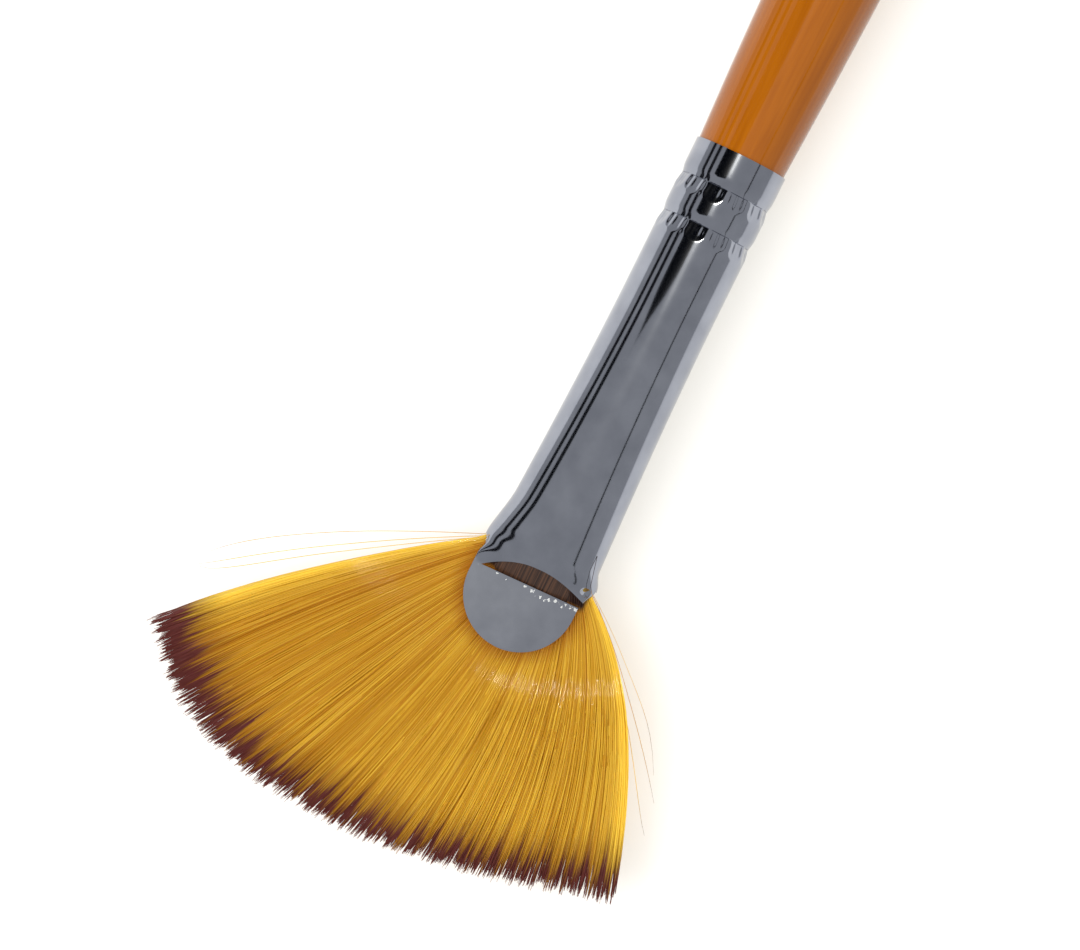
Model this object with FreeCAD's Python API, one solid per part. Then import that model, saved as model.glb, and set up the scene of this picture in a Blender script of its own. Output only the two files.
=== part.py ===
import FreeCAD, Part
import math
import os

# Long-handled fan brush, in millimetres.
# +X runs along the brush to the hair, +Y across the fan, +Z out of the fan's face.
# The origin is on the axis, in the middle of the ferrule's plain round barrel.

# ---------------------------------------------------------------- driving dimensions
ferrule_radius = 3.5            # outside of the drawn tube
ferrule_wall = 0.3
rim_to_groove = 2.7             # handle-side rim to the first crimp
groove_pitch = 3.0              # first crimp to the second
groove_depth = 0.22
groove_half_width = 0.55
barrel_gap = 1.0                # second crimp to the plain barrel
barrel_length = 5.0
press_length = 19.8             # stretch over which the tube is pressed oval
press_spread = 0.57             # gained in half width by its end
press_sink = 0.75               # lost in half height by its end
mouth_lip = 0.9                 # end of that stretch to the corners of the mouth
mouth_half_width = 4.5
mouth_half_height = 2.35

tongue_radius = 4.1             # round end of each tongue
tongue_offset = -0.3            # both tongues sit this far off the axis
tongue_chord = 2.0              # corners of the mouth to the sheared edge
tongue_centre = 2.5             # corners of the mouth to the centre of the round end
slot_left = -3.8                # closed end of the slot; the other end opens at the tongue's side
slot_rise = 1.5                 # sheared edge back to the top of the arch
slot_open = 0.65                # sheared edge back to the arch, at the open end
pinch = 0.72                    # half of the gap that the tongues leave for the hair

tenon_length = 11.0             # handle inside the ferrule
glue_film = 0.1
lacquer_film = 0.12
handle_length = 245.0           # what shows behind the ferrule
shoulder_radius = 3.35
shoulder_slope = 0.045          # gain in radius per millimetre, just behind the ferrule
handle_stations = ((8.0, 3.69), (30.0, 4.25), (80.0, 3.95), (150.0, 3.2))
tail_radius = 2.15
tail_parallel = 8.6             # straight stretch before the rounded tip

butt_from_corners = 8.4         # hair's cut ends, inside the ferrule
knot_radius = 2.3               # tied bundle of hair
knot_length = 3.6               # length over which it stays round
resin_depth = 3.0               # resin behind the cut ends
thread_radius = 0.12
thread_turns = 8
thread_pitch = 1.7 * thread_radius      # pulled tight, so that the turns bed into each other

flex_line = 7.8                 # corners of the mouth to the line that the hair bends about
flex_gap = 0.3                  # clearance at that line
toe_half_thickness = 0.34       # hair's half thickness at the tips

# Hair's outline from above, from the middle of the mouth: tips as angle from +X and
# reach, and the free edges as points between the corners of the mouth and the end tips.
tips = ((-56.0, 27.9), (-40.0, 27.0), (-16.0, 23.9), (10.0, 22.4), (25.0, 22.9), (38.3, 24.5))
left_edge = ((0.0, -4.9), (8.6, -15.9))
right_edge = ((0.0, 4.4), (4.3, 8.2), (10.7, 11.7))

# ---------------------------------------------------------------- places along X
rim_x = -(rim_to_groove + groove_pitch + barrel_gap + barrel_length / 2)
grooves_x = (rim_x + rim_to_groove, rim_x + rim_to_groove + groove_pitch)
press_x = barrel_length / 2
press_end_x = press_x + press_length
corner_x = press_end_x + mouth_lip
chord_x = corner_x + tongue_chord
flex_x = corner_x + flex_line
butt_x = corner_x - butt_from_corners
tenon_end_x = rim_x + tenon_length
tail_x = rim_x - handle_length
bore_radius = ferrule_radius - ferrule_wall


# ---------------------------------------------------------------- shape helpers
def point(x, y=0.0, z=0.0):
    return FreeCAD.Vector(x, y, z)


def line(a, b):
    return Part.LineSegment(a, b).toShape()


def polyline(points):
    return [line(a, b) for a, b in zip(points, points[1:])]


def spline(points, **ends):
    curve = Part.BSplineCurve()
    curve.interpolate(Points=points, **ends)
    return curve.toShape()


def closed_face(edges):
    return Part.Face(Part.Wire(Part.__sortEdges__(edges)))


def turned(edges):
    """Solid of revolution about X of a closed outline in the XZ plane."""
    return closed_face(edges).revolve(point(0), point(1), 360)


def plate(edges, low, high):
    """Flat plate with that plan outline, between two heights."""
    face = closed_face(edges)
    face.translate(point(0, 0, low))
    return face.extrude(point(0, 0, high - low))


def block(x, y, z):
    """Box from (low, high) pairs."""
    box = Part.makeBox(x[1] - x[0], y[1] - y[0], z[1] - z[0])
    box.translate(point(x[0], y[0], z[0]))
    return box


def oval(x, half_width, half_height):
    """Elliptical section across the brush."""
    ellipse = Part.Ellipse(point(x, half_width), point(x, 0, half_height), point(x))
    return Part.Wire(ellipse.toShape())


# ---------------------------------------------------------------- ferrule
def grooved_rod(radius, x_from, x_to):
    """Round rod that follows the crimped stretch of the tube."""
    edges, x = [], x_from
    for groove in grooves_x:
        before = point(groove - groove_half_width, 0, radius)
        after = point(groove + groove_half_width, 0, radius)
        edges.append(line(point(x, 0, radius), before))
        edges.append(Part.Arc(before, point(groove, 0, radius - groove_depth), after).toShape())
        x = after.x
    outline = [point(x, 0, radius), point(x_to, 0, radius), point(x_to), point(x_from)]
    return turned(edges + polyline(outline + [point(x_from, 0, radius)]))


def pressed_section(x, inset):
    """Oval section of the tube where it is pressed, with that much off its surface."""
    press = min(1.0, (x - press_x) / press_length) ** 1.6
    half_width = ferrule_radius + press_spread * press
    half_height = ferrule_radius - press_sink * press
    lip = min(1.0, max(0.0, (x - press_end_x) / mouth_lip))
    half_width += (mouth_half_width - half_width) * lip
    half_height += (mouth_half_height - half_height) * lip
    return oval(x, half_width - inset, half_height - inset)


def pressed_loft(inset):
    """The tube from its plain barrel, through the pressed oval, to past the mouth."""
    stations = [press_x + press_length * i / 9 for i in range(10)] + [corner_x, chord_x]
    return Part.makeLoft([pressed_section(x, inset) for x in stations], True, True)


def make_cavity():
    """The space inside the ferrule, open at both ends."""
    return grooved_rod(bore_radius, rim_x, press_x).fuse(pressed_loft(ferrule_wall))


def tongue_outline():
    """U-shaped plan of one tongue, from the corners of the mouth to its round end."""
    y_low, y_high = tongue_offset - tongue_radius, tongue_offset + tongue_radius
    middle_x = corner_x + tongue_centre
    tip = point(middle_x + tongue_radius, tongue_offset)
    round_end = Part.Arc(point(middle_x, y_high), tip, point(middle_x, y_low)).toShape()
    legs = [point(middle_x, y_low), point(corner_x, y_low), point(corner_x, y_high), point(middle_x, y_high)]
    return polyline(legs) + [round_end]


def slot_outline():
    """Plan of the cut that frees the tongue: an arch on the tube's side, then straight legs."""
    left, right = point(chord_x, slot_left), point(chord_x - slot_open, mouth_half_width)
    clear = point(2 * tongue_radius)
    arch = Part.Arc(left, point(chord_x - slot_rise, tongue_offset), right).toShape()
    return [arch] + polyline([right, right + clear, left + clear, left])


def make_ferrule():
    high = ferrule_radius + 1
    tube = grooved_rod(ferrule_radius, rim_x, press_x).fuse(pressed_loft(0.0))
    tube = tube.cut(make_cavity())
    tube = tube.cut(plate(slot_outline(), -high, high))
    tube = tube.cut(block((corner_x, chord_x + 1), (-high - 1, high + 1), (-pinch, pinch)))
    inside_slot = block((corner_x - 1, chord_x), (slot_left, high), (-high, high))
    for low in (pinch, -pinch - ferrule_wall):
        tongue = plate(tongue_outline(), low, low + ferrule_wall)
        tube = tube.fuse(tongue.cut(inside_slot))
    return tube.removeSplitter()


# ---------------------------------------------------------------- handle
def handle_solid(film):
    """The turned handle behind the ferrule, with that much film taken off its surface."""
    parallel_x = tail_x + tail_radius + tail_parallel
    start = point(rim_x, 0, shoulder_radius - film)
    middle = [point(rim_x - back, 0, radius - film) for back, radius in handle_stations]
    end = point(parallel_x, 0, tail_radius - film)
    profile = spline(
        [start] + middle + [end],
        InitialTangent=point(-1, 0, shoulder_slope),
        FinalTangent=point(-1, 0, -0.001),
    )
    dome_x, reach = tail_x + tail_radius, tail_radius - film
    dome_top, tip = point(dome_x, 0, reach), point(dome_x - reach)
    halfway = point(dome_x - reach * math.sin(math.pi / 4), 0, reach * math.cos(math.pi / 4))
    dome = Part.Arc(dome_top, halfway, tip).toShape()
    return turned([profile, line(end, dome_top), dome] + polyline([tip, point(rim_x), start]))


def make_handle():
    """Wooden core, with its tenon, and the film of lacquer on what shows."""
    core = handle_solid(lacquer_film)
    coat = handle_solid(0.0).cut(core)
    tenon = grooved_rod(bore_radius - glue_film, rim_x, tenon_end_x)
    return core.fuse(tenon).removeSplitter(), coat


def make_glue():
    sleeve = grooved_rod(bore_radius, rim_x, tenon_end_x)
    return sleeve.cut(grooved_rod(bore_radius - glue_film, rim_x, tenon_end_x))


# ---------------------------------------------------------------- hair inside the ferrule
def make_roots():
    """Tied round bundle that flattens towards the gap between the tongues."""
    knot_end_x = butt_x + knot_length
    knot = Part.makeCylinder(knot_radius, knot_length, point(butt_x), point(1))
    sections = (
        (knot_end_x, knot_radius, knot_radius),
        ((knot_end_x + corner_x) / 2, 3.1, 2.15),
        (corner_x, 3.6, 1.7),
        (chord_x, 3.7, pinch),
    )
    return knot.fuse(Part.makeLoft([oval(*section) for section in sections], True)).removeSplitter()


def make_thread():
    """Binding thread, wound tight round the middle of the tied bundle."""
    first_x = butt_x + (knot_length - thread_pitch * (thread_turns - 1)) / 2
    bedded_radius = knot_radius + thread_radius / 2
    turns = [
        Part.makeTorus(bedded_radius, thread_radius, point(first_x + thread_pitch * turn), point(1))
        for turn in range(thread_turns)
    ]
    winding = turns[0].multiFuse(turns[1:])
    return winding.cut(Part.makeCylinder(knot_radius, knot_length, point(butt_x), point(1)))


def make_resin(roots, thread):
    """Resin poured in behind the hair, soaked forward between it and the wall."""
    reach = 2 * ferrule_radius
    pour = block((butt_x - resin_depth, corner_x - mouth_lip), (-reach, reach), (-reach, reach))
    return make_cavity().common(pour).cut(roots).cut(thread)


# ---------------------------------------------------------------- fan of hair
def fan_plate():
    """The whole fan in plan, thicker than the hair."""
    tip_points = [
        point(corner_x + reach * math.cos(math.radians(a)), reach * math.sin(math.radians(a)))
        for a, reach in tips
    ]
    left = [point(corner_x + x, y) for x, y in left_edge]
    right = [point(corner_x + x, y) for x, y in right_edge]
    edges = [spline(left + tip_points[:1]), spline(tip_points), spline(right + tip_points[-1:])]
    return plate(edges + [line(left[0], right[0])], -2 * pinch, 2 * pinch)


def make_fan_base(roots):
    """Hair that the tongues hold still, up to just behind the bending line."""
    reach = tips[0][1]
    held = block((corner_x, flex_x - pinch - flex_gap), (-reach, reach), (-pinch, pinch))
    return fan_plate().common(held).cut(roots)


def make_bristle_fan():
    """Free hair: a wedge that thins to the tips, with a round nose on the bending line."""
    reach = tips[0][1]
    low, high = point(flex_x, -reach, -pinch), point(flex_x, -reach, pinch)
    nose = Part.Arc(high, point(flex_x - pinch, -reach), low).toShape()
    toe = corner_x + reach
    toe_low, toe_high = point(toe, -reach, -toe_half_thickness), point(toe, -reach, toe_half_thickness)
    wedge = polyline([low, toe_low, toe_high, high])
    return fan_plate().common(closed_face([nose] + wedge).extrude(point(0, 2 * reach)))


# ---------------------------------------------------------------- export
handle_core, lacquer_coat = make_handle()
bristle_roots = make_roots()
binding_thread = make_thread()
nodes = {
    "handle_core": handle_core,
    "lacquer_coat": lacquer_coat,
    "handle_glue": make_glue(),
    "ferrule": make_ferrule(),
    "root_resin": make_resin(bristle_roots, binding_thread),
    "binding_thread": binding_thread,
    "bristle_roots": bristle_roots,
    "fan_base": make_fan_base(bristle_roots),
    "bristle_fan": make_bristle_fan(),
}

os.makedirs("parts", exist_ok=True)
for name, shape in nodes.items():
    if not shape.isValid():
        raise ValueError(f"{name} is not a valid shape")
    shape.exportStep(f"parts/{name}.step")
    box = shape.BoundBox
    print(f"{name}: {len(shape.Solids)} solids, {shape.Volume:.1f} mm3, "
          f"x {box.XMin:.2f} to {box.XMax:.2f}, y {box.YMin:.2f} to {box.YMax:.2f}, "
          f"z {box.ZMin:.2f} to {box.ZMax:.2f}")
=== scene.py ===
import math

import bmesh
import bpy
import numpy as np
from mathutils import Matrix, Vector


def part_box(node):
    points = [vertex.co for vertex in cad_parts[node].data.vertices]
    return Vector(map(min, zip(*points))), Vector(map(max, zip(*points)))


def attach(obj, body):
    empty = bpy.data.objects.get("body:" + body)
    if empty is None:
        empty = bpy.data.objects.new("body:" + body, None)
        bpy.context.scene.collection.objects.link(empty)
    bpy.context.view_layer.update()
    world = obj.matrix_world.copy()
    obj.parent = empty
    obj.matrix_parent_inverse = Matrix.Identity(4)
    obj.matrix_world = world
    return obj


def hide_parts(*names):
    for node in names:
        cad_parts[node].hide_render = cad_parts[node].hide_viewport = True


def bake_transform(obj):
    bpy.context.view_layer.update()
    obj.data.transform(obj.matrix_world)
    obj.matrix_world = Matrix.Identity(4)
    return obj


# A long-handled fan brush. +X runs towards the hair, +Y across the fan, +Z out of its face.
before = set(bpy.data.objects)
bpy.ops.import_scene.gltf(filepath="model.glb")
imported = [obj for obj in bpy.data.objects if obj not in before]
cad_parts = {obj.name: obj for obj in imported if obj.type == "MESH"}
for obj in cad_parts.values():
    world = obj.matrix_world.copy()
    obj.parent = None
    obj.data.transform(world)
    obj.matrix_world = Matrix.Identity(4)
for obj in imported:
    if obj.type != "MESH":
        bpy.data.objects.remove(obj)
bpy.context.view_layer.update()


# ---- Handle -----------------------------------------------------------------------------
# A birch dowel turned to a long taper, dipped in clear orange lacquer and glued into the
# ferrule by a plain tenon. The lacquer is what shows; the wood under it only tints it.

MM = 0.001
real_edge = math.radians(40)     # an edge that turns more than this stays sharp


def linear(code):
    """Linear RGBA of an sRGB hex colour."""
    channels = [int(code[i:i + 2], 16) / 255 for i in (1, 3, 5)]
    return [c / 12.92 if c <= 0.04045 else ((c + 0.055) / 1.055) ** 2.4 for c in channels] + [1.0]


def add(tree, kind, inputs=(), stops=(), **settings):
    """Adds a node with its settings, and the stops of a colour ramp. Inputs are given by name
    or in order: a socket, or a node's first live output, is linked, and a value is set."""
    node = tree.nodes.new(kind)
    for name, value in settings.items():
        setattr(node, name, value)
    if stops:
        ramp = node.color_ramp.elements
        ramp.remove(ramp[1])
        for number, (position, code) in enumerate(stops):
            stop = ramp.new(position) if number else ramp[0]
            stop.position = position
            stop.color = linear(code)
    for name, value in inputs.items() if isinstance(inputs, dict) else enumerate(inputs):
        if isinstance(value, bpy.types.Node):
            value = next(socket for socket in value.outputs if socket.enabled)
        if isinstance(value, bpy.types.NodeSocket):
            tree.links.new(value, node.inputs[name])
        else:
            node.inputs[name].default_value = value
    return node


def new_material(name):
    """An empty node material, with its tree and the piece's own coordinates."""
    material = bpy.data.materials.new(name)
    material.use_nodes = True
    tree = material.node_tree
    tree.nodes.clear()
    return material, tree, add(tree, "ShaderNodeTexCoord").outputs["Object"]


def mesh_piece(name, points, faces, material):
    """A finished piece at the origin, in metres, smooth except along its real edges."""
    mesh = bpy.data.meshes.new(name)
    mesh.from_pydata([tuple(p) for p in points], [], faces)
    mesh.materials.append(material)
    mesh.shade_smooth()
    mesh.set_sharp_from_angle(angle=real_edge)
    piece = bpy.data.objects.new(name, mesh)
    bpy.context.scene.collection.objects.link(piece)
    return piece


def repaint(node, material):
    """Gives a CAD node that stays as it is its finish."""
    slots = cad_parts[node].data.materials
    slots.clear()
    slots.append(material)


handle_low, handle_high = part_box("lacquer_coat")
rim_x = handle_high.x
tail_x = handle_low.x
handle_stations = (              # behind the ferrule, radius, both mm
    (0.0, 3.35), (8.0, 3.69), (30.0, 4.25), (80.0, 3.95), (150.0, 3.2), (234.25, 2.15),
)
handle_slopes = (0.045, 0.035, 0.006, -0.009, -0.012, 0.0)
handle_sides = 96
handle_rings = 180
dome_rings = 14


def handle_radius(back):
    """Radius that far behind the ferrule, on one smooth line through the stations."""
    for (a, ra), (b, rb), sa, sb in zip(
        handle_stations, handle_stations[1:], handle_slopes, handle_slopes[1:]
    ):
        if back <= b:
            t, span = (back - a) / (b - a), b - a
            rise = t * t * (3 - 2 * t)
            return ra + (rb - ra) * rise + span * t * (1 - t) * (sa * (1 - t) - sb * t)
    return handle_stations[-1][1]


def lathe(profile, sides):
    """Points and faces of a closed turned shape about X; the profile starts and ends on it."""
    points = [(profile[0][0], 0.0, 0.0)]
    for x, radius in profile[1:-1]:
        for i in range(sides):
            turn = 2 * math.pi * i / sides
            points.append((x, radius * math.sin(turn), radius * math.cos(turn)))
    points.append((profile[-1][0], 0.0, 0.0))
    rings = len(profile) - 2
    faces = [(0, 1 + i, 1 + (i + 1) % sides) for i in range(sides)]
    for ring in range(rings - 1):
        a, b = 1 + ring * sides, 1 + (ring + 1) * sides
        faces += [(a + i, b + i, b + (i + 1) % sides, a + (i + 1) % sides) for i in range(sides)]
    last = 1 + (rings - 1) * sides
    faces += [(last + i, len(points) - 1, last + (i + 1) % sides) for i in range(sides)]
    return points, faces


def face_outwards(piece):
    """Turns every face of a closed piece the right way round."""
    shape = bmesh.new()
    shape.from_mesh(piece.data)
    bmesh.ops.remove_doubles(shape, verts=shape.verts, dist=0.0001 * MM)
    bmesh.ops.recalc_face_normals(shape, faces=shape.faces)
    shape.to_mesh(piece.data)
    shape.free()


# Clear orange nitrocellulose lacquer, dipped and polished: a deep, even colour under a hard
# gloss, with the birch's fine long pores only just showing through.
lacquer, tree, where = new_material("polished_orange_lacquer")
pore_width, pore_length = 0.35 * MM, 9.0 * MM
orange_peel_spacing = 2.5 * MM
along_grain = add(tree, "ShaderNodeMapping", {
    "Vector": where, "Scale": (1 / pore_length, 1 / pore_width, 1 / pore_width)})
pores = add(tree, "ShaderNodeTexNoise", {"Vector": along_grain, "Scale": 1.0, "Detail": 3.0})
depth = add(tree, "ShaderNodeValToRGB", {"Fac": pores}, stops=((0.3, "#864806"), (0.75, "#92520A")))
orange_peel = add(tree, "ShaderNodeTexNoise", {
    "Vector": where, "Scale": 1 / orange_peel_spacing, "Detail": 1.0})
ripple = add(tree, "ShaderNodeBump", {
    "Height": orange_peel, "Strength": 0.05, "Distance": 0.02 * MM})
gloss = add(tree, "ShaderNodeBsdfPrincipled", {
    "Base Color": depth, "Roughness": 0.07, "IOR": 1.43, "Normal": ripple})
add(tree, "ShaderNodeOutputMaterial", {"Surface": gloss})

tail_radius = handle_stations[-1][1] * MM
dome_x = tail_x + tail_radius
behind = np.linspace(0, handle_stations[-1][0], handle_rings)
outer = [(rim_x - b * MM, handle_radius(b) * MM) for b in behind] + [(dome_x, tail_radius)]
outer += [(dome_x - tail_radius * math.sin(a), tail_radius * math.cos(a))
          for a in np.linspace(0, math.pi / 2, dome_rings)[1:-1]] + [(tail_x, 0.0)]
coat_points, coat_faces = lathe([(rim_x, 0.0)] + outer, handle_sides)
lacquered_handle = mesh_piece("lacquered_handle", coat_points, coat_faces, lacquer)
face_outwards(lacquered_handle)
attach(lacquered_handle, "brush")
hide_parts("lacquer_coat")

# Bare turned birch: pale, dry and close-grained, with darker growth lines along its length.
birch, tree, where = new_material("turned_birch")
ring_spacing = 1.6 * MM
ring_stretch = 20                # how much longer than wide the growth lines are
rings = add(tree, "ShaderNodeMapping", {"Vector": where, "Scale": (
    1 / (ring_stretch * ring_spacing), 1 / ring_spacing, 1 / ring_spacing)})
growth = add(tree, "ShaderNodeTexNoise", {
    "Vector": rings, "Scale": 1.0, "Detail": 5.0, "Distortion": 0.6})
shade = add(tree, "ShaderNodeValToRGB", {"Fac": growth}, stops=((0.35, "#B98B5A"), (0.7, "#D9B98A")))
wood = add(tree, "ShaderNodeBsdfPrincipled", {"Base Color": shade, "Roughness": 0.6, "IOR": 1.45})
add(tree, "ShaderNodeOutputMaterial", {"Surface": wood})
repaint("handle_core", birch)

# Dried white wood glue, squeezed into a film: a dull, cloudy cream.
glue, tree, where = new_material("dried_wood_glue")
cloud_size = 1.5 * MM
cloud = add(tree, "ShaderNodeTexNoise", {"Vector": where, "Scale": 1 / cloud_size, "Detail": 2.0})
cream = add(tree, "ShaderNodeValToRGB", {"Fac": cloud}, stops=((0.0, "#CFC19A"), (1.0, "#E6DCC0")))
film = add(tree, "ShaderNodeBsdfPrincipled", {"Base Color": cream, "Roughness": 0.5, "IOR": 1.48})
add(tree, "ShaderNodeOutputMaterial", {"Surface": film})
repaint("handle_glue", glue)


# ---- Ferrule ----------------------------------------------------------------------------
# A seamless brass tube, drawn, plated in polished black nickel, and crimped onto the handle
# by two rows of twelve narrow jaws. Its far end is pressed oval and slit, so that a round
# tongue on each face is pushed flat onto the hair and an arched slot opens behind it.

tube_radius = 3.5 * MM
tube_wall = 0.3 * MM
crimp_x = (rim_x + 2.7 * MM, rim_x + 5.7 * MM)
jaws = 12
jaw_turn = math.radians(-26)     # one jaw's edge, measured from straight up
jaw_depth = 0.26 * MM
jaw_edge = 0.05 * MM             # over which the jaw's sharp edge bites
jaw_run = 1.3 * MM               # from that edge back to the full tube
facet_blend = 0.02 * MM          # where one jaw's flat meets the next
roll_depth, roll_width = 0.13 * MM, 0.42 * MM
crease_height = 0.012 * MM       # fine creases that the jaws push up between them
crease_x, crease_width = 0.45 * MM, 0.5 * MM
crease_waves = ((31, 0.0), (47, 1.3))    # creases round the tube, and where each set starts
press_x = 2.5 * MM               # end of the plain round barrel
press_run = 19.8 * MM
press_growth = 1.6               # the pressing comes on slowly, then faster
press_spread, press_sink = 0.57 * MM, 0.75 * MM
corner_x = press_x + press_run + 0.9 * MM
mouth_half_width, mouth_half_height = 4.5 * MM, 2.35 * MM
lip_left, lip_right = 4.2 * MM, 1.4 * MM     # over which the sides open out to the mouth
left_corner_short = 0.35 * MM    # the left corner was pressed back a little further
left_corner_run = 2.0 * MM
chord_x = corner_x + 1.65 * MM   # the slit, on the axis
chord_slant = -0.03              # the slit was cut a little out of square
slot_left = -3.8 * MM            # the slot's closed end; it is open on the right
slot_rise, slot_open = 1.35 * MM, 0.15 * MM
arch_lean = 0.25                 # the arch is this much fuller towards its closed end
tongue_radius = 4.1 * MM
tongue_y = -0.3 * MM
tongue_x = corner_x + 2.5 * MM
tongue_crown = 0.10 * MM
pinch = 0.72 * MM                # half of the gap that the tongues leave for the hair
dimple_x, dimple_y = corner_x + 0.35 * MM, 3.75 * MM
dimple_radius, dimple_depth = 0.28 * MM, 0.3 * MM
half_columns = 120
side_columns = 8                 # these end at the mouth's corners; the rest run on
rim_rings, barrel_rings, press_rings, lip_rings = 5, 10, 33, 13
crimp_rings = ((-0.9, -0.1, 11), (-0.07, 0.05, 7), (0.1, 1.4, 20))   # mm from a crimp, rings
slot_rows, tongue_rows = 12, 30


def ease(t):
    """A smooth step from 0 to 1."""
    t = min(1.0, max(0.0, t))
    return t * t * (3 - 2 * t)


def softer_low(a, b, blend):
    """The lower of two values, with the change from one to the other rounded off."""
    h = max(blend - abs(a - b), 0.0) / blend
    return min(a, b) - h * h * blend / 4


def crimped_radius(x, turn):
    """Radius of the round part of the tube, with the dents of the two rows of jaws."""
    radius = tube_radius
    step = 2 * math.pi / jaws
    in_jaw = (turn - jaw_turn) % step - step / 2
    creases = sum(math.sin(count * turn + start) for count, start in crease_waves)
    for edge in crimp_x:
        past = x - edge
        rolled = tube_radius - roll_depth * math.exp(-(past / roll_width) ** 2)
        bite = ease((past + jaw_edge) / jaw_edge) * max(0.0, 1 - past / jaw_run)
        flat = (tube_radius - jaw_depth * bite) / math.cos(in_jaw) if bite > 0 else 2 * tube_radius
        radius = min(radius, softer_low(rolled, flat, facet_blend))
        radius += crease_height * creases * math.exp(-((past - crease_x) / crease_width) ** 2)
    return radius


def oval_half_sizes(x, lip_run):
    """Half width and half height of the pressed tube; its sides open out over the last lip_run."""
    press = min(1.0, max(0.0, (x - press_x) / press_run)) ** press_growth
    width, height = tube_radius + press_spread * press, tube_radius - press_sink * press
    width += (mouth_half_width - width) * ease(1 - (corner_x - x) / lip_run)
    height += (mouth_half_height - height) * ease(1 - (corner_x - x) / lip_right)
    return width, height


def tube_point(x, turn):
    """A point on the tube's outside, that far round from straight up."""
    if x < press_x:
        radius = crimped_radius(x, turn)
        return np.array((x, radius * math.sin(turn), radius * math.cos(turn)))
    width, height = oval_half_sizes(x, lip_left if math.sin(turn) < 0 else lip_right)
    near_mouth = ease((x - corner_x) / left_corner_run + 1)
    short = left_corner_short * near_mouth * max(0.0, -math.sin(turn))
    return np.array((x - short, width * math.sin(turn), height * math.cos(turn)))


def tongue_side(column):
    """Angle round the tongue's end that this column of the grid runs to."""
    share = (column - side_columns) / (half_columns - 2 * side_columns)
    return math.pi * (share - 0.5)


def pressed_point(x, column, face):
    """A point past the mouth's corners, easing from the oval to the flat tongue."""
    turn = math.pi * (column / half_columns - 0.5)
    width, height = oval_half_sizes(corner_x, lip_right)
    x -= left_corner_short * max(0.0, -math.sin(turn)) * ease((chord_x - x) / (chord_x - corner_x))
    on_oval = np.array((x, width * math.sin(turn), height * math.cos(turn)))
    y = tongue_y + tongue_radius * math.sin(tongue_side(column))
    crown = tongue_crown * (1 - ((y - tongue_y) / tongue_radius) ** 2)
    on_tongue = np.array((x, y, pinch + tube_wall + crown))
    share = ease((x - corner_x) / (chord_x - corner_x))
    point = on_oval * (1 - share) + on_tongue * share
    from_dimple = math.hypot(point[0] - dimple_x, point[1] - dimple_y) / dimple_radius
    point[2] -= dimple_depth * math.exp(-from_dimple ** 2)
    point[2] *= face
    return point


def slit_x(y):
    """Where the straight slit that frees the tongue crosses this place."""
    return chord_x + chord_slant * y


def arch_x(y):
    """Edge of the arch over the slot, higher towards its closed end than its open one."""
    if y < slot_left:
        return slit_x(y)
    across = (y - slot_left) / (mouth_half_width - slot_left)
    lean = 1 + arch_lean * (1 - 2 * across)
    level = slit_x(y) - slot_open * across
    return level - (slot_rise - slot_open / 2) * 4 * across * (1 - across) * lean


def stations_along():
    """Places of the rings, close together only where the crimps and the mouth need it."""
    crimps_start = crimp_x[0] + crimp_rings[0][0] * MM
    crimps_end, lip_start = crimp_x[1] + 1.6 * MM, corner_x - 1.6 * MM
    places = [np.linspace(rim_x, crimps_start, rim_rings, endpoint=False)]
    for edge in crimp_x:
        places += [edge + np.linspace(low, high, rings) * MM for low, high, rings in crimp_rings]
    places.append(np.linspace(crimps_end, press_x, barrel_rings))
    places.append(np.linspace(press_x, lip_start, press_rings + 1)[1:])
    places.append(np.linspace(lip_start, corner_x, lip_rings + 1)[1:])
    return np.concatenate(places)


def ferrule_sheet():
    """The tube's outside and both tongues as one open sheet of points and faces."""
    points, faces = [], []
    columns = 2 * half_columns

    inner = range(side_columns, half_columns - side_columns + 1)
    sides = {c: tongue_y + tongue_radius * math.sin(tongue_side(c)) for c in inner}

    def put(point):
        """Adds a point and gives its number."""
        points.append(point)
        return len(points) - 1

    def strip(before, after, face):
        """Joins two rows of points on the upper (1) or lower (-1) face, facing out."""
        for a, b in zip(inner, inner[1:]):
            quad = (before[a], after[a], after[b], before[b])
            faces.append(quad if face > 0 else quad[::-1])

    ring_before = None
    for x in stations_along():
        ring = [put(tube_point(x, math.pi * (k / half_columns - 0.5))) for k in range(columns)]
        if ring_before:
            for k in range(columns):
                k2 = (k + 1) % columns
                faces.append((ring_before[k], ring[k], ring[k2], ring_before[k2]))
        ring_before = ring
    for face in (1, -1):
        row = {c: ring_before[c if face > 0 else (columns - c) % columns] for c in inner}
        for r in range(1, slot_rows + 1):
            ahead = {
                c: put(pressed_point(corner_x + (arch_x(sides[c]) - corner_x) * r / slot_rows, c, face))
                for c in inner
            }
            strip(row, ahead, face)
            row = ahead
        held = [c for c in inner if sides[c] < slot_left]
        row = {c: row[c] if c in held else put(pressed_point(slit_x(sides[c]), c, face)) for c in inner}
        for r in range(1, tongue_rows + 1):
            share = math.sin(math.pi / 2 * r / tongue_rows)
            ahead = {}
            for c in inner:
                end_x = tongue_x + tongue_radius * math.cos(tongue_side(c))
                start_x = slit_x(sides[c])
                ahead[c] = put(pressed_point(start_x + (end_x - start_x) * share, c, face))
            strip(row, ahead, face)
            row = ahead
    return points, faces


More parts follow.
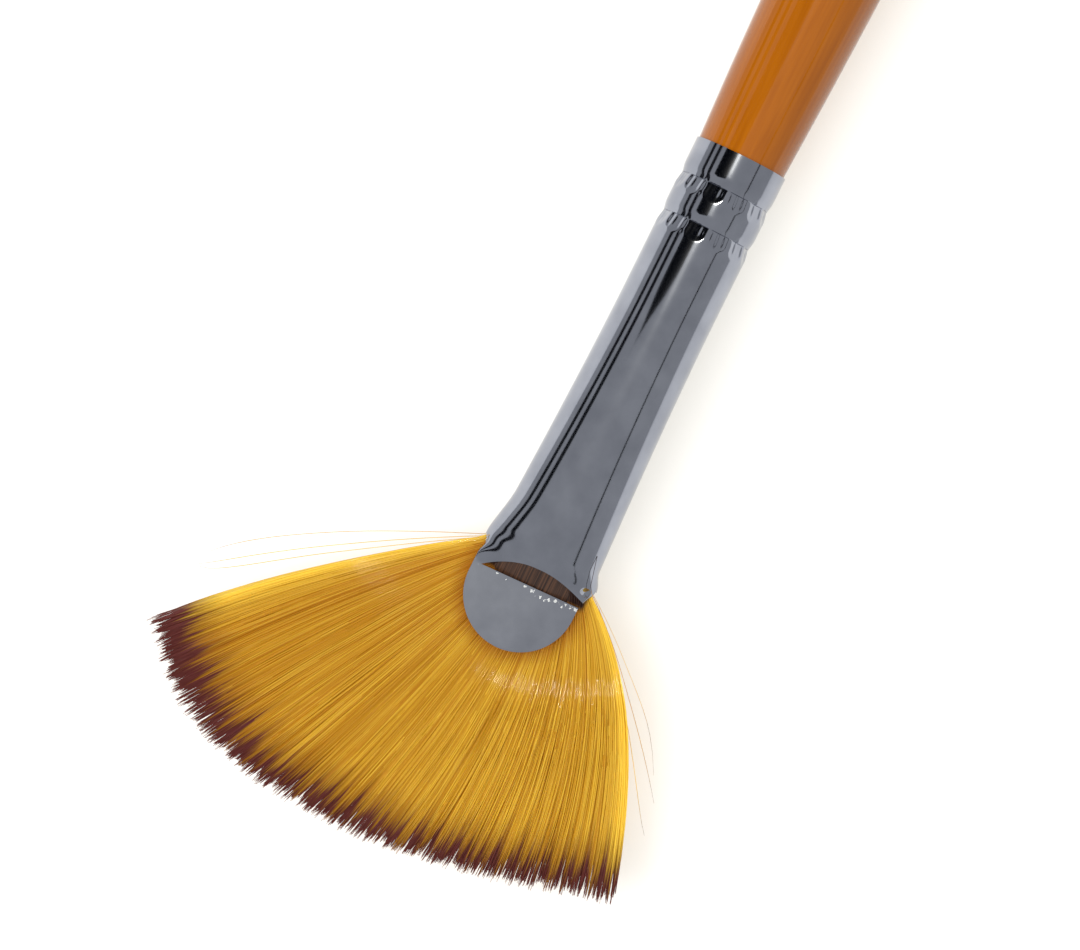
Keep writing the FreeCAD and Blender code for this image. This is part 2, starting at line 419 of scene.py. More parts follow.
# Polished black-nickel plate on brass: a dark, slightly blue mirror, a little duller on the
# pressed tongues, with fine polishing lines round the tube and a few chips at the shear.
black_nickel, tree, where = new_material("polished_black_nickel")
line_spacing = 0.08 * MM         # the real lines are finer; these are as fine as shows
line_stretch = 1 / 0.12          # how much longer than wide they are
haze_size = 2.2 * MM
chip_size = 0.32 * MM
lines = add(tree, "ShaderNodeMapping", {"Vector": where, "Scale": (
    1 / line_spacing, 1 / (line_stretch * line_spacing), 1 / (line_stretch * line_spacing))})
polish = add(tree, "ShaderNodeTexNoise", {"Vector": lines, "Scale": 1.0, "Detail": 4.0})
haze = add(tree, "ShaderNodeTexNoise", {"Vector": where, "Scale": 1 / haze_size, "Detail": 3.0})
grey = add(tree, "ShaderNodeValToRGB", {"Fac": haze}, stops=((0.3, "#8A8E99"), (0.7, "#989CA7")))
place = add(tree, "ShaderNodeSeparateXYZ", {"Vector": where}).outputs
on_tongue = add(tree, "ShaderNodeMapRange", {
    "Value": place["X"], "From Min": chord_x - 0.3 * MM, "From Max": chord_x + 0.2 * MM})
dullness = add(tree, "ShaderNodeMapRange", {"Value": on_tongue, "To Min": 0.10, "To Max": 0.14})
# the chips are just past the slit, and most of them towards its open end
chips = add(tree, "ShaderNodeTexNoise", {"Vector": where, "Scale": 1 / chip_size, "Detail": 2.5})
square_x = add(
    tree, "ShaderNodeMath", (place["Y"], -chord_slant, place["X"]), operation="MULTIPLY_ADD")
by_shear = add(tree, "ShaderNodeMapRange", {
    "Value": square_x, "From Min": chord_x + 1.5 * MM, "From Max": chord_x + 0.3 * MM})
past_shear = add(tree, "ShaderNodeMath", (square_x, chord_x + 0.1 * MM), operation="GREATER_THAN")
open_end = add(tree, "ShaderNodeMapRange", {
    "Value": place["Y"], "From Min": -3.5 * MM, "From Max": 1.5 * MM, "To Min": 0.84, "To Max": 1.0})
band = add(tree, "ShaderNodeMath", (by_shear, past_shear), operation="MULTIPLY")
band = add(tree, "ShaderNodeMath", (band, open_end), operation="MULTIPLY")
rare = add(tree, "ShaderNodeMath", (chips, band), operation="MULTIPLY")
chipped = add(tree, "ShaderNodeMapRange", {"Value": rare, "From Min": 0.55, "From Max": 0.60})
colour = add(tree, "ShaderNodeMix", {
    "Factor": chipped, 6: grey, 7: linear("#C4C8CE")}, data_type="RGBA")
chip_dullness = add(tree, "ShaderNodeMath", (chipped, 0.5), operation="MULTIPLY")
rough = add(tree, "ShaderNodeMath", (chip_dullness, dullness), operation="ADD")
relief = add(tree, "ShaderNodeBump", {
    "Height": polish, "Strength": 0.12, "Distance": 0.002 * MM})
mirror = add(tree, "ShaderNodeBsdfPrincipled", {
    "Base Color": colour, "Metallic": 1.0, "Roughness": rough, "Normal": relief})
add(tree, "ShaderNodeOutputMaterial", {"Surface": mirror})

plated_ferrule = mesh_piece("plated_ferrule", *ferrule_sheet(), black_nickel)
wall = plated_ferrule.modifiers.new("wall", "SOLIDIFY")
wall.thickness = tube_wall
wall.offset = -1.0
with bpy.context.temp_override(object=plated_ferrule, active_object=plated_ferrule):
    bpy.ops.object.modifier_apply(modifier=wall.name)
plated_ferrule.data.set_sharp_from_angle(angle=real_edge)
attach(plated_ferrule, "brush")
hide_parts("ferrule")


# ---- Roots inside the ferrule -----------------------------------------------------------
# The hair's cut ends, tied in a round bundle with waxed thread and set in dark epoxy that is
# poured in from the handle's side. Only the epoxy and the stained roots show, in the slot.

# Cured dark epoxy: brown, glassy where it pooled.
epoxy, tree, where = new_material("cured_epoxy")
pool_size = 0.6 * MM
pooled = add(tree, "ShaderNodeTexNoise", {"Vector": where, "Scale": 1 / pool_size, "Detail": 3.0})
brown = add(tree, "ShaderNodeValToRGB", {"Fac": pooled}, stops=((0.0, "#24140E"), (1.0, "#4A2A1C")))
glassy = add(tree, "ShaderNodeBsdfPrincipled", {
    "Base Color": brown, "Roughness": 0.35, "IOR": 1.55})
add(tree, "ShaderNodeOutputMaterial", {"Surface": glassy})
repaint("root_resin", epoxy)

# Filament soaked with that epoxy: nearly black brown, with the lines of single hairs.
soaked_filament, tree, where = new_material("epoxy_soaked_filament")
root_width, root_length = 0.11 * MM, 6.0 * MM
hair_lines = add(tree, "ShaderNodeMapping", {
    "Vector": where, "Scale": (1 / root_length, 1 / root_width, 1 / root_length)})
single = add(tree, "ShaderNodeTexNoise", {"Vector": hair_lines, "Scale": 1.0, "Detail": 2.0})
stain = add(tree, "ShaderNodeValToRGB", {"Fac": single}, stops=((0.35, "#1C0E09"), (0.72, "#4C3222")))
ridges = add(tree, "ShaderNodeBump", {"Height": single, "Strength": 0.8, "Distance": 0.05 * MM})
matted = add(tree, "ShaderNodeBsdfPrincipled", {
    "Base Color": stain, "Roughness": 0.4, "IOR": 1.5, "Normal": ridges})
add(tree, "ShaderNodeOutputMaterial", {"Surface": matted})
repaint("bristle_roots", soaked_filament)

# Waxed binding thread: an even off-white twist.
waxed_thread, tree, where = new_material("waxed_thread")
twist_pitch = 0.9 * MM
twist = add(tree, "ShaderNodeTexWave", {
    "Vector": where, "Scale": 1 / twist_pitch, "Distortion": 1.0}).outputs["Fac"]
ply = add(tree, "ShaderNodeValToRGB", {"Fac": twist}, stops=((0.0, "#A99B80"), (1.0, "#DDD2BA")))
waxed = add(tree, "ShaderNodeBsdfPrincipled", {"Base Color": ply, "Roughness": 0.55, "IOR": 1.5})
add(tree, "ShaderNodeOutputMaterial", {"Surface": waxed})
repaint("binding_thread", waxed_thread)


# ---- Fan of hair ------------------------------------------------------------------------
# Tapered nylon filament, dyed gold with maroon points. The tongues pinch the round bundle
# flat, so the filaments leave the mouth side by side and spread; the side that curls back
# further gives the fan its long corner. Past the tongues they bend freely.

filament = 0.1 * MM
strand_points = 26
strand_sides = 3
fan_sizes = {
    "Inside": 2.4 * MM,          # how far back in the ferrule a modelled filament starts
    "Root Height": 1.75 * MM,    # half the thickness of the fan inside the mouth,
    "Held Height": 0.62 * MM,    # under the tongues
    "Tip Height": 0.36 * MM,     # and at the tips
    "Wave": 0.5 * MM,            # how far the tips wander
    "Ruffle": 0.26 * MM,         # height of the ruffles towards the short side
}
fan_lines = {                    # x from the mouth's corners, y, both mm, left to right
    "mouth": ((-0.3, -4.1), (0.0, -2.1), (0.1, 0.0), (0.1, 2.0), (0.2, 4.0)),
    "belly": ((6.9, -14.95), (9.4, -9.0), (11.0, -2.6), (9.9, 4.6), (5.1, 11.3)),
    "tips": ((15.8, -23.3), (20.8, -17.4), (23.0, -6.6), (22.1, 3.9), (20.75, 9.7), (19.2, 15.4)),
}


def guide_curve(name, lines):
    """The three lines that every filament follows: mouth, belly and tips, in that order."""
    data = bpy.data.curves.new(name, "CURVE")
    data.dimensions = "3D"
    data.resolution_u = 24
    for line in lines.values():
        spline = data.splines.new("BEZIER")
        spline.bezier_points.add(len(line) - 1)
        for knot, (x, y) in zip(spline.bezier_points, line):
            knot.co = (corner_x + x * MM, y * MM, 0.0)
            knot.handle_left_type = knot.handle_right_type = "AUTO"
    guide = bpy.data.objects.new(name, data)
    bpy.context.scene.collection.objects.link(guide)
    return guide


def new_geometry_tree(name, sizes):
    """A Geometry Nodes tree with these named inputs, and the sockets that give them."""
    tree = bpy.data.node_groups.new(name, "GeometryNodeTree")
    tree.interface.new_socket("Geometry", in_out="INPUT", socket_type="NodeSocketGeometry")
    for label, kind in sizes.items():
        tree.interface.new_socket(label, in_out="INPUT", socket_type=kind)
    tree.interface.new_socket("Geometry", in_out="OUTPUT", socket_type="NodeSocketGeometry")
    return tree, add(tree, "NodeGroupInput").outputs


def fan_tree():
    """Filaments from the mouth line past the belly line to the tips line."""
    tree, given = new_geometry_tree("fan_of_filament", {
        "Lines": "NodeSocketObject", "Count": "NodeSocketInt", "Seed": "NodeSocketInt",
        "Thickness": "NodeSocketFloat", "Clumps": "NodeSocketFloat",
        **{size: "NodeSocketFloat" for size in fan_sizes}, "Material": "NodeSocketMaterial"})
    number = add(tree, "GeometryNodeInputIndex")

    # one point for each filament, with its place in the fan
    seeds = add(tree, "GeometryNodeMeshLine", {"Count": given["Count"]})
    jitter = add(tree, "FunctionNodeRandomValue", {
        2: 0.0, 3: 1.0, "ID": number, "Seed": given["Seed"]})
    turn_in_line = add(tree, "ShaderNodeMath", (number, jitter), operation="ADD")
    seeds = add(tree, "GeometryNodeStoreNamedAttribute", {
        "Geometry": seeds, "Name": "across",
        "Value": add(tree, "ShaderNodeMath", (turn_in_line, given["Count"]), operation="DIVIDE")},
        domain="POINT")
    for offset, (name, low, high) in enumerate((
        ("layer", -1.0, 1.0), ("tint", 0.0, 1.0), ("length", 0.0, 1.0),
        ("drift", -1.0, 1.0), ("pull", 0.0, 0.7), ("dip", 0.0, 1.0),
    ), start=1):
        own_seed = add(tree, "ShaderNodeMath", (given["Seed"], offset), operation="ADD")
        seeds = add(tree, "GeometryNodeStoreNamedAttribute", {
            "Geometry": seeds, "Name": name,
            "Value": add(tree, "FunctionNodeRandomValue", {
                2: low, 3: high, "ID": number, "Seed": own_seed})}, domain="POINT")
    across, layer, tint, length, drift, pull, along = (
        add(tree, "GeometryNodeInputNamedAttribute", {"Name": name})
        for name in ("across", "layer", "tint", "length", "drift", "pull", "along"))
    line = add(tree, "GeometryNodeCurvePrimitiveLine")
    line = add(tree, "GeometryNodeResampleCurve", {"Curve": line, "Count": strand_points})
    strands = add(tree, "GeometryNodeInstanceOnPoints", {"Points": seeds, "Instance": line})
    strands = add(tree, "GeometryNodeRealizeInstances", {"Geometry": strands})

    # how far along the filament a point is: below 0 inside the ferrule, 1 at the tip
    back_share = 0.1
    spot = add(tree, "GeometryNodeSplineParameter").outputs["Factor"]
    strands = add(tree, "GeometryNodeStoreNamedAttribute", {
        "Geometry": strands, "Name": "along",
        "Value": add(tree, "ShaderNodeMapRange", {
            "Value": spot, "From Min": 0.0, "From Max": 1.0, "To Min": -back_share, "To Max": 1.0})},
        domain="POINT")
    free = add(tree, "ShaderNodeMath", (along, 0.0), operation="MAXIMUM")
    buried = add(tree, "ShaderNodeMath", (along, 0.0), operation="MINIMUM")

    # tips gather into small points of uneven width
    widths_across, unevenness = 60.0, 0.035
    gather_late = 13.0               # the power that keeps the gathering to the very tips
    crossing = 0.012                 # how far a filament starts from its own place in the fan
    spread_out = add(tree, "ShaderNodeMath", (across, widths_across), operation="MULTIPLY")
    wander = add(tree, "ShaderNodeTexNoise", {
        "W": spread_out, "Scale": 1.0, "Detail": 1.0}, noise_dimensions="1D")
    uneven = add(tree, "ShaderNodeMath", (wander, 0.5), operation="SUBTRACT")
    uneven = add(tree, "ShaderNodeMath", (uneven, unevenness), operation="MULTIPLY")
    cell = add(tree, "ShaderNodeMath", (across, uneven), operation="ADD")
    cell = add(tree, "ShaderNodeMath", (cell, given["Clumps"]), operation="MULTIPLY")
    centre = add(tree, "ShaderNodeMath", (cell,), operation="FLOOR")
    centre = add(tree, "ShaderNodeMath", (centre, 0.5), operation="ADD")
    centre = add(tree, "ShaderNodeMath", (centre, given["Clumps"]), operation="DIVIDE")
    centre = add(tree, "ShaderNodeMath", (centre, uneven), operation="SUBTRACT")
    gather = add(tree, "ShaderNodeMath", (free, gather_late), operation="POWER")
    gather = add(tree, "ShaderNodeMath", (gather, pull), operation="MULTIPLY")
    to_centre = add(tree, "ShaderNodeMath", (centre, across), operation="SUBTRACT")
    share = add(tree, "ShaderNodeMath", (to_centre, gather, across), operation="MULTIPLY_ADD")
    astray = add(tree, "ShaderNodeMath", (drift, crossing), operation="MULTIPLY")
    settle = add(tree, "ShaderNodeMath", (1.0, free), operation="SUBTRACT")
    share = add(tree, "ShaderNodeMath", (astray, settle, share), operation="MULTIPLY_ADD")

    # each filament is a bent line through its three guide points, cut to its own length
    longest, uneven_length, notch = 1.015, 0.035, 0.05
    off_centre = add(tree, "ShaderNodeMath", (to_centre,), operation="ABSOLUTE")
    off_centre = add(tree, "ShaderNodeMath", (off_centre, given["Clumps"]), operation="MULTIPLY")
    shorter = add(tree, "ShaderNodeMath", (length, uneven_length), operation="MULTIPLY")
    shorter = add(tree, "ShaderNodeMath", (off_centre, notch, shorter), operation="MULTIPLY_ADD")
    reach = add(tree, "ShaderNodeMath", (longest, shorter), operation="SUBTRACT")
    t = add(tree, "ShaderNodeMath", (free, reach), operation="MULTIPLY")
    rest = add(tree, "ShaderNodeMath", (1.0, t), operation="SUBTRACT")
    middle = add(tree, "ShaderNodeMath", (rest, t), operation="MULTIPLY")
    weights = (
        add(tree, "ShaderNodeMath", (rest, rest), operation="MULTIPLY"),
        add(tree, "ShaderNodeMath", (middle, 2.0), operation="MULTIPLY"),
        add(tree, "ShaderNodeMath", (t, t), operation="MULTIPLY"),
    )
    guides = add(tree, "GeometryNodeObjectInfo", {"Object": given["Lines"]}, transform_space="ORIGINAL")
    path = (0.0, 0.0, 0.0)
    for row, weight in enumerate(weights):
        reached = add(tree, "GeometryNodeSampleCurve", {
            "Curves": guides.outputs["Geometry"], "Factor": share, "Curve Index": row}, mode="FACTOR")
        pulled = add(tree, "ShaderNodeVectorMath", {
            0: reached.outputs["Position"], "Scale": weight}, operation="SCALE")
        path = add(tree, "ShaderNodeVectorMath", (path, pulled), operation="ADD")

    # small sideways waves that neighbours share, and a little of each filament's own
    waves_across, waves_along = 90.0, 1.6
    spread = add(tree, "ShaderNodeCombineXYZ", {
        "X": add(tree, "ShaderNodeMath", (across, waves_across), operation="MULTIPLY"),
        "Y": add(tree, "ShaderNodeMath", (free, waves_along), operation="MULTIPLY"), "Z": layer})
    wave = add(tree, "ShaderNodeTexNoise", {"Vector": spread, "Scale": 1.0, "Detail": 1.0})
    wave = add(tree, "ShaderNodeVectorMath", (wave.outputs["Color"], (0.5, 0.5, 0.5)), operation="SUBTRACT")
    swing = add(tree, "ShaderNodeMath", (free, given["Wave"]), operation="MULTIPLY")
    wave = add(tree, "ShaderNodeVectorMath", {0: wave, "Scale": swing}, operation="SCALE")
    path = add(tree, "ShaderNodeVectorMath", (path, wave), operation="ADD")
    flat_place = add(tree, "ShaderNodeSeparateXYZ", {"Vector": path}).outputs

    # half the fan's thickness: an oval in the ferrule, pinched by the tongues, thin at the tips
    roundness = 0.96                 # at 1 the oval would come to nothing at its two sides
    edge = add(tree, "ShaderNodeMath", (across, 2.0, -1.0), operation="MULTIPLY_ADD")
    edge = add(tree, "ShaderNodeMath", (edge, edge), operation="MULTIPLY")
    edge = add(tree, "ShaderNodeMath", (edge, roundness), operation="MULTIPLY")
    in_tube = add(tree, "ShaderNodeMath", (1.0, edge), operation="SUBTRACT")
    in_tube = add(tree, "ShaderNodeMath", (in_tube,), operation="SQRT")
    in_tube = add(tree, "ShaderNodeMath", (in_tube, given["Root Height"]), operation="MULTIPLY")
    pinched = add(tree, "ShaderNodeMapRange", {
        "Value": flat_place["X"], "From Min": corner_x - 0.3 * MM, "From Max": chord_x - 0.1 * MM},
        interpolation_type="SMOOTHSTEP")
    thin = add(tree, "ShaderNodeMapRange", {
        "Value": free, "From Min": 0.2, "From Max": 1.0,
        "To Min": given["Held Height"], "To Max": given["Tip Height"]})
    half = add(tree, "ShaderNodeMix", {"Factor": pinched, 2: in_tube, 3: thin}, data_type="FLOAT")

    # past the tongues it swells, and towards its short side it has two ruffles
    swell_along, swell_run, swell_share = 0.47, 0.13, 0.5
    ruffles = ((0.39, 1.0), (0.53, 0.75))    # place along the filament, strength
    ruffle_run, ruffle_waves, ruffle_wander = 0.04, 34.0, 0.10
    swell = add(tree, "ShaderNodeMath", (free, swell_along), operation="SUBTRACT")
    swell = add(tree, "ShaderNodeMath", (swell, swell_run), operation="DIVIDE")
    swell = add(tree, "ShaderNodeMath", (swell, swell), operation="MULTIPLY")
    swell = add(tree, "ShaderNodeMath", (swell, -1.0), operation="MULTIPLY")
    swell = add(tree, "ShaderNodeMath", (swell,), operation="EXPONENT")
    swell = add(tree, "ShaderNodeMath", (swell, swell_share, 1.0), operation="MULTIPLY_ADD")
    half = add(tree, "ShaderNodeMath", (half, swell), operation="MULTIPLY")
    spread_out = add(tree, "ShaderNodeMath", (across, ruffle_waves), operation="MULTIPLY")
    wander = add(tree, "ShaderNodeTexNoise", {
        "W": spread_out, "Scale": 1.0, "Detail": 1.0}, noise_dimensions="1D")
    ruffled = 0.0
    for start, strength in ruffles:
        crest = add(tree, "ShaderNodeMath", (wander, ruffle_wander, start), operation="MULTIPLY_ADD")
        hump = add(tree, "ShaderNodeMath", (free, crest), operation="SUBTRACT")
        hump = add(tree, "ShaderNodeMath", (hump, ruffle_run), operation="DIVIDE")
        hump = add(tree, "ShaderNodeMath", (hump, hump), operation="MULTIPLY")
        hump = add(tree, "ShaderNodeMath", (hump, -1.0), operation="MULTIPLY")
        hump = add(tree, "ShaderNodeMath", (hump,), operation="EXPONENT")
        ruffled = add(tree, "ShaderNodeMath", (hump, strength, ruffled), operation="MULTIPLY_ADD")
    short_side = add(tree, "ShaderNodeMapRange", {
        "Value": across, "From Min": 0.46, "From Max": 0.62, "To Max": given["Ruffle"]})
    half = add(tree, "ShaderNodeMath", (ruffled, short_side, half), operation="MULTIPLY_ADD")

    # its place, narrowed inside the ferrule so that it clears the wall
    narrowing = 0.15
    height = add(tree, "ShaderNodeMath", (half, layer), operation="MULTIPLY")
    back = add(tree, "ShaderNodeMath", (buried, 1 / back_share), operation="MULTIPLY")
    back = add(tree, "ShaderNodeMath", (back, given["Inside"]), operation="MULTIPLY")
    narrowed = add(tree, "ShaderNodeMath", (buried, narrowing / back_share, 1.0), operation="MULTIPLY_ADD")
    place = add(tree, "ShaderNodeCombineXYZ", {
        "X": add(tree, "ShaderNodeMath", (flat_place["X"], back), operation="ADD"),
        "Y": add(tree, "ShaderNodeMath", (flat_place["Y"], narrowed), operation="MULTIPLY"),
        "Z": add(tree, "ShaderNodeMath", (flat_place["Z"], height), operation="ADD")})
    strands = add(tree, "GeometryNodeSetPosition", {"Geometry": strands, "Position": place})

    # tapered tube round each line
    taper_start, point_width = 0.84, 0.32
    thinnest, thicker = 0.8, 0.4     # of the given thickness, and how much is added to that
    point_end = add(tree, "ShaderNodeMapRange", {
        "Value": free, "From Min": taper_start, "From Max": 1.0, "To Min": 1.0, "To Max": point_width})
    stout = add(tree, "ShaderNodeMath", (tint, thicker, thinnest), operation="MULTIPLY_ADD")
    radius = add(tree, "ShaderNodeMath", (point_end, stout), operation="MULTIPLY")
    radius = add(tree, "ShaderNodeMath", (radius, given["Thickness"]), operation="MULTIPLY")
    radius = add(tree, "ShaderNodeMath", (radius, 0.5), operation="MULTIPLY")
    section = add(tree, "GeometryNodeCurvePrimitiveCircle", {
        "Resolution": strand_sides, "Radius": 1.0}, mode="RADIUS")
    tubes = add(tree, "GeometryNodeCurveToMesh", {
        "Curve": strands, "Profile Curve": section, "Scale": radius, "Fill Caps": True})
    tubes = add(tree, "GeometryNodeSetShadeSmooth", {"Geometry": tubes})
    tubes = add(tree, "GeometryNodeRealizeInstances", {"Geometry": tubes})
    tubes = add(tree, "GeometryNodeSetMaterial", {"Geometry": tubes, "Material": given["Material"]})
    add(tree, "NodeGroupOutput", (tubes,))
    return tree


def grown(name, tree, values):
    """Runs a Geometry Nodes tree with these inputs and keeps its result as a plain mesh."""
    host = bpy.data.objects.new(name, bpy.data.meshes.new(name))
    bpy.context.scene.collection.objects.link(host)
    modifier = host.modifiers.new("grow", "NODES")
    modifier.node_group = tree
    for item in tree.interface.items_tree:
        if item.in_out == "INPUT" and item.name in values:
            modifier[item.identifier] = values[item.name]
    bpy.context.view_layer.update()
    ready = host.evaluated_get(bpy.context.evaluated_depsgraph_get())
    mesh = bpy.data.meshes.new_from_object(ready)
    mesh.name = name
    host.modifiers.clear()
    host.data = mesh
    return host


# Dyed nylon filament: translucent gold with a soft sheen, its colour uneven from filament to
# filament, stained brown in the resin and dip-dyed maroon at the tapered points. Painted shade
# darkens it round the tongue and in the slot, and a painted backlight yellows the outermost filaments.
nylon, tree, where = new_material("dyed_nylon_filament")
tint, along, dip, across = (
    add(tree, "ShaderNodeAttribute", attribute_name=name).outputs["Fac"]
    for name in ("tint", "along", "dip", "across"))
place = add(tree, "ShaderNodeSeparateXYZ", {"Vector": where}).outputs

# gold, darker in streaks and on the long side
gold = add(tree, "ShaderNodeValToRGB", {"Fac": tint}, stops=(
    (0.0, "#C69022"), (0.5, "#D3A42B"), (1.0, "#E4BE3C")))
streaks_across = 150.0
streak = add(tree, "ShaderNodeTexNoise", {
    "W": add(tree, "ShaderNodeMath", (across, streaks_across), operation="MULTIPLY"),
    "Scale": 1.0, "Detail": 2.0}, noise_dimensions="1D")
long_side = add(tree, "ShaderNodeMapRange", {
    "Value": across, "From Min": 0.65, "From Max": 0.1, "To Max": 0.42})
darker = add(tree, "ShaderNodeMapRange", {
    "Value": streak, "From Min": 0.45, "From Max": 0.25, "To Max": 0.5})
darker = add(tree, "ShaderNodeMath", (darker, long_side), operation="ADD")
hue = add(tree, "ShaderNodeMix", {
    "Factor": darker, 6: gold, 7: linear("#B8770F")}, data_type="RGBA")

# painted shade: the hair is darkened round the tongue's edge, where the tongue shades it
beside_tongue = add(tree, "ShaderNodeVectorMath", (
    add(tree, "ShaderNodeCombineXYZ", {"X": place["X"], "Y": place["Y"]}),
    (tongue_x, tongue_y, 0.0)), operation="DISTANCE")
painted_tongue_shade = add(tree, "ShaderNodeMapRange", {
    "Value": beside_tongue, "From Min": tongue_radius + 1.4 * MM, "From Max": tongue_radius - 0.2 * MM,
    "To Max": 0.75}, interpolation_type="SMOOTHSTEP")
hue = add(tree, "ShaderNodeMix", {
    "Factor": painted_tongue_shade, 6: hue, 7: linear("#A65F0C")}, data_type="RGBA")

# painted light: the outermost filaments are painted a clear yellow, as if lit through
from_right = add(tree, "ShaderNodeMath", (1.0, across), operation="SUBTRACT")
from_edge = add(tree, "ShaderNodeMath", (across, from_right), operation="MINIMUM")
painted_backlight = add(tree, "ShaderNodeMapRange", {
    "Value": from_edge, "From Min": 0.055, "From Max": 0.005, "To Max": 0.85})
hue = add(tree, "ShaderNodeMix", {
    "Factor": painted_backlight, 6: hue, 7: linear("#FADD52")}, data_type="RGBA")

# the dye's edge: uneven across the fan, deeper at the long corner, browned before it is maroon
patches_across = 55.0
patch = add(tree, "ShaderNodeTexNoise", {
    "W": add(tree, "ShaderNodeMath", (across, patches_across), operation="MULTIPLY"),
    "Scale": 1.0, "Detail": 2.0}, noise_dimensions="1D")
patch = add(tree, "ShaderNodeMath", (patch, 0.5), operation="SUBTRACT")
late = add(tree, "ShaderNodeMath", (patch, 0.2, along), operation="MULTIPLY_ADD")
late = add(tree, "ShaderNodeMath", (dip, 0.05, late), operation="MULTIPLY_ADD")
near_corner = add(tree, "ShaderNodeMapRange", {
    "Value": across, "From Min": 0.3, "From Max": 0.0, "To Max": 0.045})
late = add(tree, "ShaderNodeMath", (late, near_corner), operation="ADD")
browned = add(tree, "ShaderNodeMapRange", {
    "Value": late, "From Min": 0.86, "From Max": 0.95, "To Max": 0.6})
hue = add(tree, "ShaderNodeMix", {
    "Factor": browned, 6: hue, 7: linear("#96591C")}, data_type="RGBA")
dyed = add(tree, "ShaderNodeMapRange", {
    "Value": late, "From Min": 0.94, "From Max": 1.0}, interpolation_type="SMOOTHSTEP")
hue = add(tree, "ShaderNodeMix", {
    "Factor": dyed, 6: hue, 7: linear("#6C3532")}, data_type="RGBA")

# dark resin on the roots that show in the slot, with the slot's shade painted on them too
soaked = add(tree, "ShaderNodeMapRange", {
    "Value": place["X"], "From Min": chord_x + 0.2 * MM, "From Max": chord_x - 0.3 * MM})
off_middle = add(tree, "ShaderNodeMath", (place["Y"],), operation="ABSOLUTE")
in_slot = add(tree, "ShaderNodeMapRange", {
    "Value": off_middle, "From Min": 4.3 * MM, "From Max": 4.0 * MM})
resin_and_slot_shade = add(tree, "ShaderNodeMath", (soaked, in_slot), operation="MULTIPLY")
hue = add(tree, "ShaderNodeMix", {
    "Factor": resin_and_slot_shade, 6: hue, 7: linear("#301A12")}, data_type="RGBA")

body = add(tree, "ShaderNodeBsdfPrincipled", {"Base Color": hue, "Roughness": 0.13, "IOR": 1.53})
glow = add(tree, "ShaderNodeBsdfTranslucent", {"Color": hue})
through_light = add(tree, "ShaderNodeMixShader", (0.35, body, glow))
add(tree, "ShaderNodeOutputMaterial", {"Surface": through_light})

fan_guide = guide_curve("fan_lines", fan_lines)
hair_tree = fan_tree()
hair_pieces = 6
hair_count = 1300                # filaments in each
hair_clumps = 120.0              # points that their tips gather into
seed_step = 10                   # each piece uses its seed and the six after it


def hair_piece(name, guide, count, seed, thickness, clumps):
    """One bunch of filament, held by the tongues and free beyond them."""
    hair = grown(name, hair_tree, {
        **fan_sizes, "Lines": guide, "Count": count, "Seed": seed, "Thickness": thickness,
        "Clumps": clumps, "Material": nylon})
    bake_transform(hair)
    return hair


for piece_number in range(hair_pieces):
    hair = hair_piece(
        f"fan_hair_{piece_number + 1}", fan_guide, hair_count, seed_step * piece_number, filament,
        hair_clumps)
    if piece_number == 0:
        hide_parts("fan_base", "bristle_fan")

stray_lines = {                  # a few filaments that sprang loose on either side
    "left": {
        "mouth": ((-0.5, -3.9), (-0.3, -4.0)),
        "belly": ((4.2, -16.0), (6.2, -14.6)),
        "tips": ((9.2, -21.8), (12.4, -22.3)),
    },
    "right": {
        "mouth": ((0.0, 4.0), (0.0, 3.9)),
        "belly": ((1.6, 6.6), (4.6, 9.4)),
        "tips": ((8.2, 13.8), (15.6, 15.9)),
    },
}
stray_count = 3
stray_seed = 100
for extra, (side, lines) in enumerate(stray_lines.items()):
    stray_guide = guide_curve(f"stray_lines_{side}", lines)
    hair_piece(f"stray_hair_{side}", stray_guide, stray_count, stray_seed + extra, 0.5 * filament, 1.0)
    bpy.data.objects.remove(stray_guide)
bpy.data.objects.remove(fan_guide)


# ---- Floor, lights and camera -----------------------------------------------------------
# A white table under an even white sky, with two soft boxes that gloss doesn't see and a
# small warm light that puts the shine on the hair. Only gloss sees the dark cards overhead,
# which are the dark bands along the bright tube.

table_white, tree, where = new_material("white_table")
grain = add(tree, "ShaderNodeTexNoise", {"Vector": where, "Scale": 8.0})
paint = add(tree, "ShaderNodeValToRGB", {"Fac": grain}, stops=((0.0, "#DCDCDE"), (1.0, "#E0E0E1")))
matt = add(tree, "ShaderNodeBsdfPrincipled", {
    "Base Color": paint, "Roughness": 0.9, "Specular IOR Level": 0.1,
    "Emission Color": (1, 1, 1, 1), "Emission Strength": 0.04})
add(tree, "ShaderNodeOutputMaterial", {"Surface": matt})


def flat_card(name, corners, material):
    """A flat sheet of the set, which isn't part of the brush."""
    card = mesh_piece(name, corners, [tuple(range(len(corners)))], material)
    return card


floor_z = handle_low.z
table_reach = 3.0
flat_card("table", [
    (x * table_reach, y * table_reach, floor_z) for x, y in ((-1, -1), (1, -1), (1, 1), (-1, 1))
], table_white)

black_card, tree, _ = new_material("black_card")
black = add(tree, "ShaderNodeBsdfDiffuse", {"Color": (0.002, 0.003, 0.006, 1)})
add(tree, "ShaderNodeOutputMaterial", {"Surface": black})
card_z = 60 * MM


def sideways(lateral):
    """Where a card at card_z has to reach for a round tube to show it that far off centre."""
    tilt = 2 * math.asin(lateral * MM / tube_radius)
    return lateral * MM + math.tan(tilt) * card_z


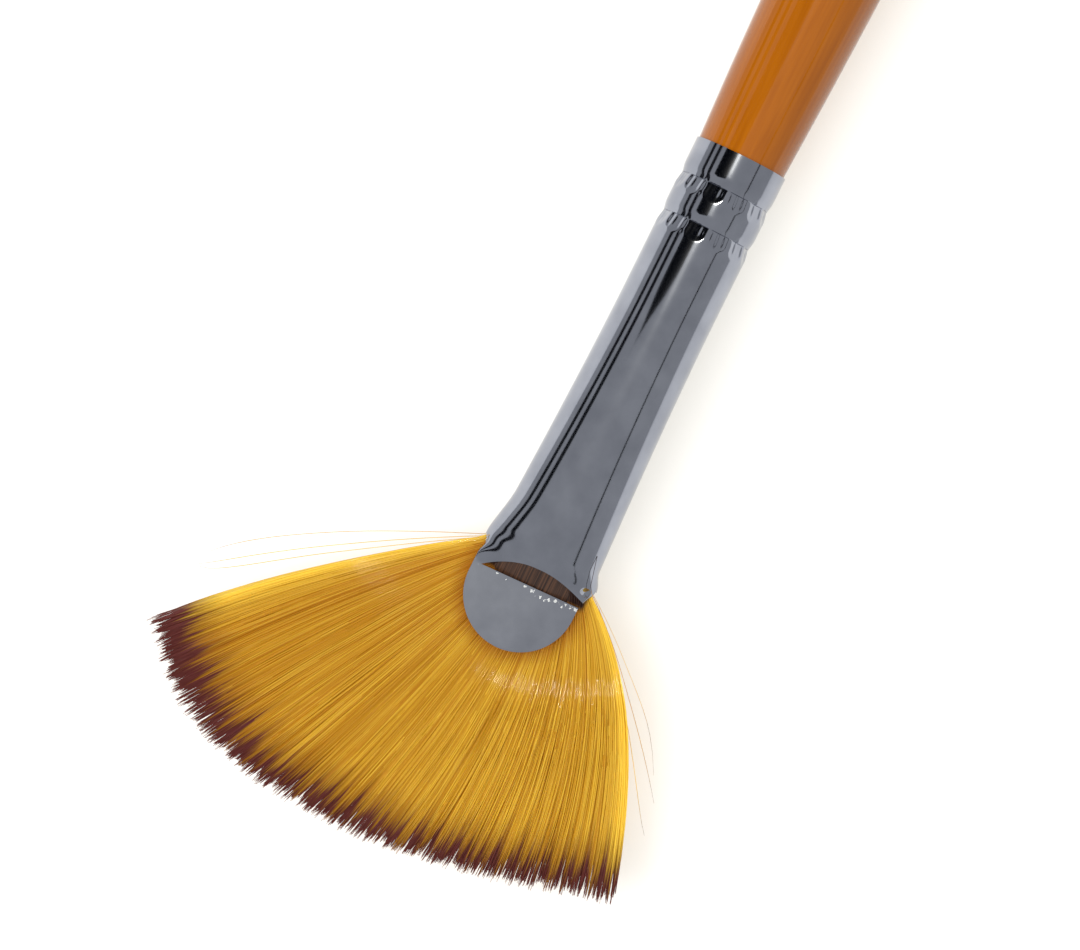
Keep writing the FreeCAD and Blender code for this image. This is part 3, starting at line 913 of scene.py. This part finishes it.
gloss_cards = {                  # x, and how far off the tube's centre it shows, both mm
    "camera_card": ((-60, -1.2), (-60, -0.1), (-2, -0.35), (6, -0.9), (-2, -1.2)),
    "right_strip": ((-80, 1.32), (-80, 1.40), (60, 1.40), (60, 1.32)),
    "left_strip_near": ((-200, -1.72), (-200, -1.50), (200, -1.50), (200, -1.72)),
    "left_strip_far": ((-200, -2.16), (-200, -1.96), (200, -1.96), (200, -2.16)),
}
for name, corners in gloss_cards.items():
    card = flat_card(name, [(x * MM, sideways(y), card_z) for x, y in corners], black_card)
    card.visible_camera = card.visible_diffuse = card.visible_shadow = False
    card.visible_transmission = False

world = bpy.data.worlds.new("white_studio")
bpy.context.scene.world = world
world.use_nodes = True
world.node_tree.nodes["Background"].inputs["Color"].default_value = (1.0, 1.0, 1.0, 1.0)
world.node_tree.nodes["Background"].inputs["Strength"].default_value = 0.58


def soft_light(name, place, aim, size, power):
    """A square light at one place, aimed at another."""
    data = bpy.data.lights.new(name, "AREA")
    data.size = size
    data.energy = power
    light = bpy.data.objects.new(name, data)
    bpy.context.scene.collection.objects.link(light)
    light.location = place
    light.rotation_euler = (Vector(aim) - Vector(place)).to_track_quat("-Z", "Y").to_euler()
    return light


fan_middle = (0.034, -0.004, 0.0)
for name, place, size, power in (
    ("key_softbox", (0.24, -0.42, 0.55), 0.60, 3.6),
    ("overhead_softbox", (0.02, 0.05, 0.70), 0.50, 1.1),
):
    soft_light(name, place, fan_middle, size, power).visible_glossy = False
hair_light = soft_light("hair_light", (-0.09, -0.055, 0.48), fan_middle, 0.03, 1.5)
hair_light.data.color = (1.0, 0.95, 0.80)
hair_light.data.use_shadow = False

view_width = 77.1 * MM
view_middle = (corner_x - 5.76 * MM, -2.85 * MM)
view_turn = math.radians(116.31)
camera_height = 0.43
camera_data = bpy.data.cameras.new("camera")
camera_data.lens = camera_data.sensor_width * camera_height / view_width
camera = bpy.data.objects.new("camera", camera_data)
bpy.context.scene.collection.objects.link(camera)
camera.location = (*view_middle, camera_height)
camera.rotation_euler = (0, 0, view_turn)
bpy.context.scene.camera = camera
bpy.context.scene.view_settings.view_transform = "Standard"
